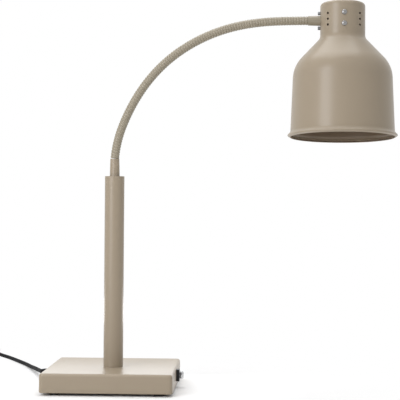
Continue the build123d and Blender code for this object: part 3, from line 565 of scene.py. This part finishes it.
def polyCurve(name, points):
    data = bpy.data.curves.new(name, "CURVE")
    data.dimensions = "3D"
    spline = data.splines.new("POLY")
    spline.points.add(len(points) - 1)
    for target, point in zip(spline.points, points):
        target.co = (*point, 1.0)
    piece = bpy.data.objects.new(name, data)
    scene.collection.objects.link(piece)
    return piece


def pointCloud(name, places):
    # one vertex for each place, with the direction it faces and its turn kept as attributes
    mesh = bpy.data.meshes.new(name)
    mesh.from_pydata([tuple(place) for place, facing, turn in places], [], [])
    mesh.attributes.new("facing", "FLOAT_VECTOR", "POINT")
    mesh.attributes.new("turn", "FLOAT", "POINT")
    for index, (place, direction, turn) in enumerate(places):
        mesh.attributes["facing"].data[index].vector = direction
        mesh.attributes["turn"].data[index].value = turn
    piece = bpy.data.objects.new(name, mesh)
    scene.collection.objects.link(piece)
    return piece


def settle(piece, body, slotName, *replaced):
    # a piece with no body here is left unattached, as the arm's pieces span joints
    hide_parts(*replaced)
    if body:
        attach(piece, body)


# bendable arm: ribs along the same arcs as the solid's


armShape = {
    "turns": [16, 10, 12, 13, 11.5, 11.5, 8.5, 2.5],  # degrees, one for each segment
    "startLean": 5,
    "ribsInSegment": 12,
    "ribPitch": 0.0049,
    "crestRadius": 0.00775,
    "grooveRadius": 0.00705,
    "grooveSharpness": 2.4,
    "startGap": 0.0001,
    "stepsInHalf": 12,
    "stepsInRib": 14,
    "sides": 40,
}


def armStations(shape):
    # points of each half segment along the arm, in order
    length = shape["ribsInSegment"] * shape["ribPitch"]
    lean = math.radians(shape["startLean"])
    start = ferruleTop + shape["crestRadius"] * math.sin(lean) + shape["startGap"]
    corner = Vector((columnMiddle.x, columnMiddle.y, start))
    halves = []
    steps = shape["stepsInHalf"]
    for turnDegrees in shape["turns"]:
        turn = math.radians(turnDegrees)
        radius = length / turn
        centre = corner + radius * Vector((math.cos(lean), 0, -math.sin(lean)))
        points = []
        for step in range(2 * steps + 1):
            angle = lean + turn * step / (2 * steps)
            points.append(centre + radius * Vector((-math.cos(angle), 0, math.sin(angle))))
        halves += [points[:steps + 1], points[steps:]]
        corner = points[-1]
        lean += turn
    return halves


def ribTree():
    inputs = {
        "Rib Count": ("Int", 12),
        "Crest Radius": ("Float", 0.008),
        "Groove Radius": ("Float", 0.007),
        "Groove Sharpness": ("Float", 4.0),
        "Steps In Rib": ("Int", 12),
        "Sides": ("Int", 40),
        "Smooth": ("Bool", True),
        "Material": ("Material", None),
    }
    tree = Tree("ribbedHose", inputs)
    steps = tree.math("MULTIPLY", tree.given("Rib Count"), tree.given("Steps In Rib"))
    count = tree.math("ADD", steps, 1.0)
    resampled = {"Curve": tree.given("Geometry"), "Count": count}
    path = tree.add("ResampleCurve", {"mode": "COUNT"}, resampled)[0]
    share = tree.add("SplineParameter")["Factor"]
    ribs = tree.math("MULTIPLY", share, tree.given("Rib Count"))
    phase = tree.math("SUBTRACT", tree.math("MULTIPLY", tree.math("FRACT", ribs, 0.0), 2.0), 1.0)
    groove = tree.math("POWER", tree.math("ABSOLUTE", phase, 0.0), tree.given("Groove Sharpness"))
    depth = tree.math("SUBTRACT", tree.given("Crest Radius"), tree.given("Groove Radius"))
    swell = tree.math("SUBTRACT", tree.given("Crest Radius"), tree.math("MULTIPLY", groove, depth))
    ring = tree.add("CurvePrimitiveCircle", {}, {"Resolution": tree.given("Sides"), "Radius": 1.0})[0]
    values = {"Curve": path, "Profile Curve": ring, "Scale": swell, "Fill Caps": True}
    tree.finish(tree.add("CurveToMesh", {}, values)[0])
    return tree


def makeArm(shape):
    tree = ribTree()
    halves = armStations(shape)
    bodies = ["stand"] + ["arm_%d" % number for number in range(2, 8)] + ["head"]
    perHalf = shape["ribsInSegment"] // 2
    last = len(bodies) - 1
    for joint in range(1, len(bodies)):
        first = 0 if joint == 1 else 2 * joint - 1
        stop = 2 * last + 2 if joint == last else 2 * joint + 1
        points = [halves[first][0]]
        for half in halves[first:stop]:
            points += half[1:]
        curve = polyCurve("armPath%d" % joint, points)
        piece = tree.apply(curve, "arm_ribs_%d" % joint, {
            "Rib Count": perHalf * (stop - first),
            "Crest Radius": shape["crestRadius"],
            "Groove Radius": shape["grooveRadius"],
            "Groove Sharpness": shape["grooveSharpness"],
            "Steps In Rib": shape["stepsInRib"],
            "Sides": shape["sides"],
            "Smooth": True,
            "Material": armPaint,
        })
        replaced = ["arm_segment_%d" % joint]
        if joint == last:
            replaced.append("arm_segment_%d" % (joint + 1))
        settle(piece, None, "arm_paint", *replaced)
        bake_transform(piece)
    print("arm made:", last, "bending pieces")


makeArm(armShape)


# power cord: one smooth line from the gland, over the floor, round the coil to the plug


cordShape = {
    "diameter": 0.0076,
    "bevelSteps": 5,
    "splineSteps": 8,
    "points": [  # from the middle of the base's footprint
        (-0.1315, 0.0850, 0.0175),
        (-0.1386, 0.0880, 0.0168),
        (-0.1434, 0.0948, 0.0152),
        (-0.1453, 0.1035, 0.0136),
        (-0.1470, 0.1110, 0.0123),
        (-0.1785, 0.2150, 0.0064),
        (-0.1905, 0.2480, 0.0048),
        (-0.2015, 0.2790, 0.0040),
        (-0.2115, 0.3030, 0.0039),
        (-0.2585, 0.4010, 0.0039),
        (-0.2745, 0.4300, 0.0039),
        (-0.2895, 0.4550, 0.0041),
        (-0.3025, 0.4800, 0.0048),
        (-0.3105, 0.5000, 0.0055),
    ],
    "coilStart": (-0.3135, 0.5400),
    "coilRunIn": 0.027,
    "coilRadius": 0.0475,
    "turnPitch": 0.0097,
    "layerPitch": 0.0084,
    "coilLow": 0.0057,
    "halfTurnsIn": 4,
    "pointsInHalfTurn": 8,
    "tailRunOut": 0.020,
    "tail": [(0.0015, -0.0400, 0.0162), (0.0060, -0.0600, 0.0185), (0.0120, -0.0780, 0.0185)],
}


def coilPoints(shape, entry):
    # half turns that step inwards, climb a layer and step out again, as the solid's do
    steps = shape["halfTurnsIn"]
    radii = [shape["coilRadius"] - shape["turnPitch"] / 2 * step for step in range(steps + 1)]
    radii += radii[::-1]
    heights = [shape["coilLow"]] * (steps + 1) + [shape["coilLow"] + shape["layerPitch"]] * (steps + 1)
    centre = Vector((entry.x - shape["coilRadius"], entry.y, 0))
    count = shape["pointsInHalfTurn"]
    outward = 1 / (0.75 + 0.25 * math.cos(math.pi / count))  # the spline runs inside its points
    points = []
    for number in range(len(radii) - 1):
        sideways = 1 if number % 2 == 0 else -1
        start = centre + Vector((sideways * radii[number], 0, heights[number]))
        finish = centre + Vector((-sideways * radii[number + 1], 0, heights[number + 1]))
        middle = (start + finish) / 2
        arm = (start - finish) / 2
        for step in range(count):
            angle = math.pi * (step + 0.5) / count
            spread = arm * math.cos(angle) + Vector((0, sideways * arm.length * math.sin(angle), 0))
            points.append(middle + spread * outward)
    last = centre + Vector((-radii[-1] if len(radii) % 2 == 0 else radii[-1], 0, heights[-1]))
    return points, last


def cordRoute(shape):
    foot = Vector((baseMiddle.x, baseMiddle.y, 0))
    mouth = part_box("cord_gland")
    exitPoint = Vector((mouth[0].x, (mouth[0].y + mouth[1].y) / 2, (mouth[0].z + mouth[1].z) / 2))
    points = [exitPoint] + [foot + Vector(point) for point in shape["points"]]
    entry = foot + Vector((*shape["coilStart"], shape["coilLow"]))
    points.append(entry - Vector((0, shape["coilRunIn"], 0)))
    turns, last = coilPoints(shape, entry)
    points += turns
    points.append(last - Vector((0, shape["tailRunOut"], 0)))
    points += [Vector((last.x + x, last.y + y, z)) for x, y, z in shape["tail"]]
    return exitPoint, points


plugShape = {
    "reliefLength": 0.026,
    "reliefRadii": (0.0052, 0.0070),
    "reliefRings": 6,
    "ringDepth": 0.0010,
    "stepsInRing": 8,
    "gripLength": 0.020,
    "gripRadius": 0.0130,
    "gripWaist": 0.0012,
    "stepsInGrip": 8,
    "faceLength": 0.016,
    "faceRadius": 0.0185,
    "edge": 0.0018,
    "edgeCut": 0.3,  # how far in from the corner the middle of an edge lies, as a share of it
    "sides": 56,
    "sharpAngle": 40,  # degrees
}


def lathe(name, origin, direction, profile, shape, material):
    # a closed round body from (distance along, radius) pairs
    across = direction.cross(Vector((0, 0, 1))).normalized()
    upward = across.cross(direction)
    sides = shape["sides"]
    work = bmesh.new()
    rings = []
    for along, radius in profile:
        ring = []
        for side in range(sides):
            angle = 2 * math.pi * side / sides
            spoke = across * math.cos(angle) + upward * math.sin(angle)
            ring.append(work.verts.new(origin + direction * along + spoke * radius))
        rings.append(ring)
    for first, second in zip(rings, rings[1:]):
        for side in range(sides):
            other = (side + 1) % sides
            work.faces.new((first[side], first[other], second[other], second[side]))
    work.faces.new(rings[0][::-1])
    work.faces.new(rings[-1])
    bmesh.ops.recalc_face_normals(work, faces=work.faces)
    mesh = bpy.data.meshes.new(name)
    work.to_mesh(mesh)
    work.free()
    mesh.materials.append(material)
    mesh.shade_smooth()
    mesh.set_sharp_from_angle(angle=math.radians(shape["sharpAngle"]))
    piece = bpy.data.objects.new(name, mesh)
    scene.collection.objects.link(piece)
    return piece


def roundedEdge(shape, along, radius, side):
    # side 1 opens a cylinder from its end, and -1 closes it
    edge = shape["edge"]
    cut = edge * shape["edgeCut"]
    points = [(along, radius - edge), (along + side * cut, radius - cut), (along + side * edge, radius)]
    return points[::side]


def makePlug(shape, origin, direction):
    # strain relief with rings, a waisted grip and the round face
    length = shape["reliefLength"]
    start, finish = shape["reliefRadii"]
    profile = []
    steps = shape["reliefRings"] * shape["stepsInRing"]
    for step in range(steps + 1):
        share = step / steps
        ring = (0.5 - 0.5 * math.cos(2 * math.pi * shape["reliefRings"] * share)) ** 3
        profile.append((length * share, start + (finish - start) * share - ring * shape["ringDepth"]))
    edge = shape["edge"]
    grip = shape["gripRadius"]
    face = shape["faceRadius"]
    profile += roundedEdge(shape, length, grip, 1)
    for step in range(1, shape["stepsInGrip"]):
        share = step / shape["stepsInGrip"]
        waist = math.sin(math.pi * share) * shape["gripWaist"]
        profile.append((length + edge + (shape["gripLength"] - edge) * share, grip - waist))
    rear = length + shape["gripLength"]
    profile += [(rear, grip)] + roundedEdge(shape, rear, face, 1)
    profile += roundedEdge(shape, rear + shape["faceLength"], face, -1)
    plug = lathe("plug_looks", origin, direction, profile, shape, darks["blackRubber"])
    settle(plug, "stand", "black_rubber", "plug_body")
    return plug


def makeCord(shape):
    exitPoint, points = cordRoute(shape)
    data = bpy.data.curves.new("power_cord_line", "CURVE")
    data.dimensions = "3D"
    data.bevel_depth = shape["diameter"] / 2
    data.bevel_resolution = shape["bevelSteps"]
    data.resolution_u = shape["splineSteps"]
    data.use_fill_caps = True
    spline = data.splines.new("NURBS")
    spline.points.add(len(points) - 1)
    for target, point in zip(spline.points, points):
        target.co = (*point, 1.0)
    spline.order_u = 3
    spline.use_endpoint_u = True
    data.materials.append(darks["cordSheath"])
    cord = bpy.data.objects.new("power_cord_line", data)
    scene.collection.objects.link(cord)
    settle(cord, "stand", "cable_sheath", "power_cord", "cord_coil", "plug_lead")
    plug = makePlug(plugShape, points[-1], (points[-1] - points[-2]).normalized())
    print("cord laid with", len(points), "points")


makeCord(cordShape)


# screws: domed heads with a cross recess


screwDetail = {
    "domeSegments": 32,
    "domeRings": 24,
    "shankSides": 24,
    "cutterSide": 0.05,  # of the block that takes the lower half of the dome away
    "slotReach": 1.2,  # the cross's whole width over the head's radius
}


def screwTree(detail):
    inputs = {
        "Head Radius": ("Float", 0.0048),
        "Head Height": ("Float", 0.0025),
        "Slot Width": ("Float", 0.0011),
        "Slot Depth": ("Float", 0.0012),
        "Shank Radius": ("Float", 0.0020),
        "Shank Length": ("Float", 0.0080),
        "Smooth": ("Bool", False),
        "Material": ("Material", None),
    }
    tree = Tree("crossHeadScrews", inputs)
    radius = tree.given("Head Radius")
    height = tree.given("Head Height")
    ballSize = {"Segments": detail["domeSegments"], "Rings": detail["domeRings"], "Radius": 1.0}
    ball = tree.add("MeshUVSphere", {}, ballSize)[0]
    stretch = tree.add("ShaderNodeCombineXYZ", {}, {0: radius, 1: radius, 2: height})[0]
    dome = tree.add("Transform", {}, {"Geometry": ball, "Scale": stretch})[0]
    side = detail["cutterSide"]
    under = tree.math("MULTIPLY", height, 2.0)
    block = tree.add("ShaderNodeCombineXYZ", {}, {0: side, 1: side, 2: under})[0]
    lower = tree.add("MeshCube", {}, {"Size": block})[0]
    below = tree.math("MULTIPLY", height, -1.0)
    sink = tree.add("ShaderNodeCombineXYZ", {}, {0: 0.0, 1: 0.0, 2: below})[0]
    lowered = tree.add("Transform", {}, {"Geometry": lower, "Translation": sink})[0]
    reach = tree.math("MULTIPLY", radius, detail["slotReach"])
    width = tree.given("Slot Width")
    deep = tree.math("MULTIPLY", tree.given("Slot Depth"), 2.0)
    slotSize = tree.add("ShaderNodeCombineXYZ", {}, {0: reach, 1: width, 2: deep})[0]
    crossSize = tree.add("ShaderNodeCombineXYZ", {}, {0: width, 1: reach, 2: deep})[0]
    lift = tree.add("ShaderNodeCombineXYZ", {}, {0: 0.0, 1: 0.0, 2: height})[0]
    cutters = [lowered]
    for size in (slotSize, crossSize):
        bar = tree.add("MeshCube", {}, {"Size": size})[0]
        cutters.append(tree.add("Transform", {}, {"Geometry": bar, "Translation": lift})[0])
    cut = {"operation": "DIFFERENCE", "solver": "EXACT"}
    head = tree.add("MeshBoolean", cut, {"Mesh 1": dome, "Mesh 2": cutters})[0]
    length = tree.given("Shank Length")
    shankSize = {"Vertices": detail["shankSides"], "Radius": tree.given("Shank Radius"), "Depth": length}
    shank = tree.add("MeshCylinder", {}, shankSize)[0]
    half = tree.math("MULTIPLY", length, -0.5)
    down = tree.add("ShaderNodeCombineXYZ", {}, {0: 0.0, 1: 0.0, 2: half})[0]
    sunk = tree.add("Transform", {}, {"Geometry": shank, "Translation": down})[0]
    screw = tree.add("JoinGeometry", {}, {"Geometry": [head, sunk]})[0]
    facing = tree.add("InputNamedAttribute", {"data_type": "FLOAT_VECTOR"}, {"Name": "facing"})[0]
    turn = tree.add("InputNamedAttribute", {"data_type": "FLOAT"}, {"Name": "turn"})[0]
    aim = tree.add("FunctionNodeAlignRotationToVector", {"axis": "Z"}, {"Vector": facing})[0]
    spin = tree.add("ShaderNodeCombineXYZ", {}, {0: 0.0, 1: 0.0, 2: turn})[0]
    rotation = tree.add("FunctionNodeRotateRotation", {"rotation_space": "LOCAL"}, {0: aim, 1: spin})[0]
    placed = {"Points": tree.given("Geometry"), "Instance": screw, "Rotation": rotation}
    tree.finish(tree.add("InstanceOnPoints", {}, placed)[0])
    return tree


screwKinds = {
    "bracket_screws": {
        "body": "head",
        "headRadius": 0.0048,
        "headHeight": 0.0026,
        "slotWidth": 0.0017,
        "slotDepth": 0.0016,
        "shankRadius": 0.0020,
        "shankLength": 0.0080,
    },
    "foot_screws": {
        "body": "stand",
        "headRadius": 0.0038,
        "headHeight": 0.0016,
        "slotWidth": 0.0010,
        "slotDepth": 0.0009,
        "shankRadius": 0.0020,
        "shankLength": 0.0140,
    },
}
screwTurns = (0.35, 1.10, 0.72, 0.15)  # each screw stopped at its own angle


def lowCorner(points):
    # to a tenth of a millimetre
    return [round(min(point[axis] for point in points), 4) for axis in range(3)]


def islandsOf(node):
    # the separate solids of a node, each as a list of its points
    # a set has no fixed order, so the mesh's own order and a sort by place keep every run the same
    work = bmesh.new()
    work.from_mesh(nodes[node].data)
    work.transform(nodes[node].matrix_world)
    bmesh.ops.remove_doubles(work, verts=work.verts, dist=1e-6)
    waiting = set(work.verts)
    islands = []
    for start in work.verts:
        if start not in waiting:
            continue
        waiting.remove(start)
        reached = [start]
        for vertex in reached:
            for edge in vertex.link_edges:
                other = edge.other_vert(vertex)
                if other in waiting:
                    waiting.remove(other)
                    reached.append(other)
        islands.append([vertex.co.copy() for vertex in reached])
    work.free()
    return sorted(islands, key=lowCorner)


def headPlace(points, facing, height):
    # the middle of the seat of a screw's head
    farthest = max(point.dot(facing) for point in points)
    rim = [point for point in points if farthest - point.dot(facing) < 1e-5]
    return sum(rim, Vector()) / len(rim) - facing * height


def makeScrews(kinds):
    tree = screwTree(screwDetail)
    neckMiddle = middleOf("neck_plate").y
    for node, kind in kinds.items():
        places = []
        for number, points in enumerate(islandsOf(node)):
            facing = Vector((0, 0, -1))
            if node == "bracket_screws":
                facing = headFront if points[0].y < neckMiddle else -headFront
            place = headPlace(points, facing, kind["headHeight"])
            places.append((place, facing, screwTurns[number % len(screwTurns)]))
        piece = tree.apply(pointCloud(node + "_places", places), node + "_looks", {
            "Head Radius": kind["headRadius"],
            "Head Height": kind["headHeight"],
            "Slot Width": kind["slotWidth"],
            "Slot Depth": kind["slotDepth"],
            "Shank Radius": kind["shankRadius"],
            "Shank Length": kind["shankLength"],
            "Smooth": False,
            "Material": metals["screwChrome"],
        })
        settle(piece, kind["body"], "zinc", node)
        print("screws made:", node, len(places))


makeScrews(screwKinds)


# studio: plain pale floor, white background and soft lights


studio = {
    "floorSize": 40.0,
    "floorColor": (0.80, 0.80, 0.80),
    "floorRoughness": 0.9,
    "floorSpecular": 0.1,
    "clearFrom": 0.20,  # from here the floor fades into the white background
    "clearTo": 0.55,
    "worldLow": 0.36,  # light from the horizon and from straight above
    "worldHigh": 0.95,
    "lamps": {
        "key": {
            "place": (-1.25, -1.65, 0.95),
            "target": (0, 0, 0.35),
            "size": (0.9, 1.6),
            "power": 26,
            "color": (0.97, 0.97, 1.0),
        },
        "top": {
            "place": (-0.10, 0.35, 2.3),
            "target": (0, 0, 0.35),
            "size": (1.9, 1.9),
            "power": 27,
            "color": (1.0, 1.0, 1.0),
        },
        "strip": {  # low behind the base
            "place": (-0.20, 0.20, 0.12),
            "target": (-0.20, -1.0, 0.12),
            "size": (0.9, 0.05),
            "power": 0.42,
            "color": (1.0, 1.0, 1.0),
        },
    },
}


def plainlySeen(maker):
    # 1 where the camera, glass or gloss shows the background, 0 where it only gives light
    path = maker.add("ShaderNodeLightPath")
    seen = path.outputs["Is Camera Ray"]
    for ray in ("Is Transmission Ray", "Is Glossy Ray"):
        either = {0: seen, 1: path.outputs[ray]}
        seen = maker.add("ShaderNodeMath", {"operation": "MAXIMUM"}, either).outputs[0]
    return seen


def makeFloor(look):
    size = look["floorSize"]
    corners = [(x * size, y * size, 0) for x, y in ((-1, -1), (1, -1), (1, 1), (-1, 1))]
    mesh = bpy.data.meshes.new("floor")
    mesh.from_pydata(corners, [], [(0, 1, 2, 3)])
    floor = bpy.data.objects.new("floor", mesh)
    scene.collection.objects.link(floor)
    shader = Shader("paleFloor", Roughness=look["floorRoughness"],
                    Specular_IOR_Level=look["floorSpecular"], Base_Color=look["floorColor"])
    middle = (baseMiddle.x, baseMiddle.y, 0)
    away = shader.vector("DISTANCE", shader.coords.outputs["Object"], middle)
    cleared = Field(shader, away.outputs["Value"]).clamped(look["clearFrom"], look["clearTo"])
    white = shader.add("ShaderNodeEmission", {}, {"Color": (1, 1, 1), "Strength": 1.0})
    mixed = shader.add("ShaderNodeMixShader", {}, {
        0: cleared * Field(shader, plainlySeen(shader)),
        1: shader.surface.outputs[0],
        2: white.outputs[0],
    })
    shader.put(shader.output.inputs["Surface"], mixed.outputs[0])
    mesh.materials.append(shader.material)


def makeWorld(look):
    world = bpy.data.worlds.new("studioWorld")
    scene.world = world
    world.use_nodes = True
    sky = NodeMaker(world.node_tree)
    sky.tree.nodes.clear()
    coords = sky.add("ShaderNodeTexCoord")
    split = sky.add("ShaderNodeSeparateXYZ", {}, {0: coords.outputs["Generated"]})
    grades = {"Value": split.outputs["Z"], "To Min": look["worldLow"], "To Max": look["worldHigh"]}
    graded = sky.add("ShaderNodeMapRange", {}, grades).outputs[0]
    light = sky.add("ShaderNodeBackground", {}, {"Color": (1, 1, 1), "Strength": graded})
    plain = sky.add("ShaderNodeBackground", {}, {"Color": (1, 1, 1), "Strength": 1.0})
    shares = {0: plainlySeen(sky), 1: light.outputs[0], 2: plain.outputs[0]}
    mix = sky.add("ShaderNodeMixShader", {}, shares)
    sky.add("ShaderNodeOutputWorld", {}, {0: mix.outputs[0]})


def makeLamp(name, look):
    data = bpy.data.lights.new(name, "AREA")
    data.shape = "RECTANGLE"
    data.size, data.size_y = look["size"]
    data.energy = look["power"]
    data.color = look["color"]
    lamp = bpy.data.objects.new(name, data)
    scene.collection.objects.link(lamp)
    direction = Vector(look["target"]) - Vector(look["place"])
    turn = direction.to_track_quat("-Z", "Y").to_matrix().to_4x4()
    lamp.matrix_world = Matrix.Translation(look["place"]) @ turn
    lamp.visible_camera = False


makeFloor(studio)
makeWorld(studio)
for lampName, lampLook in studio["lamps"].items():
    makeLamp(lampName, lampLook)
scene.view_settings.view_transform = "Standard"
print("studio lit")
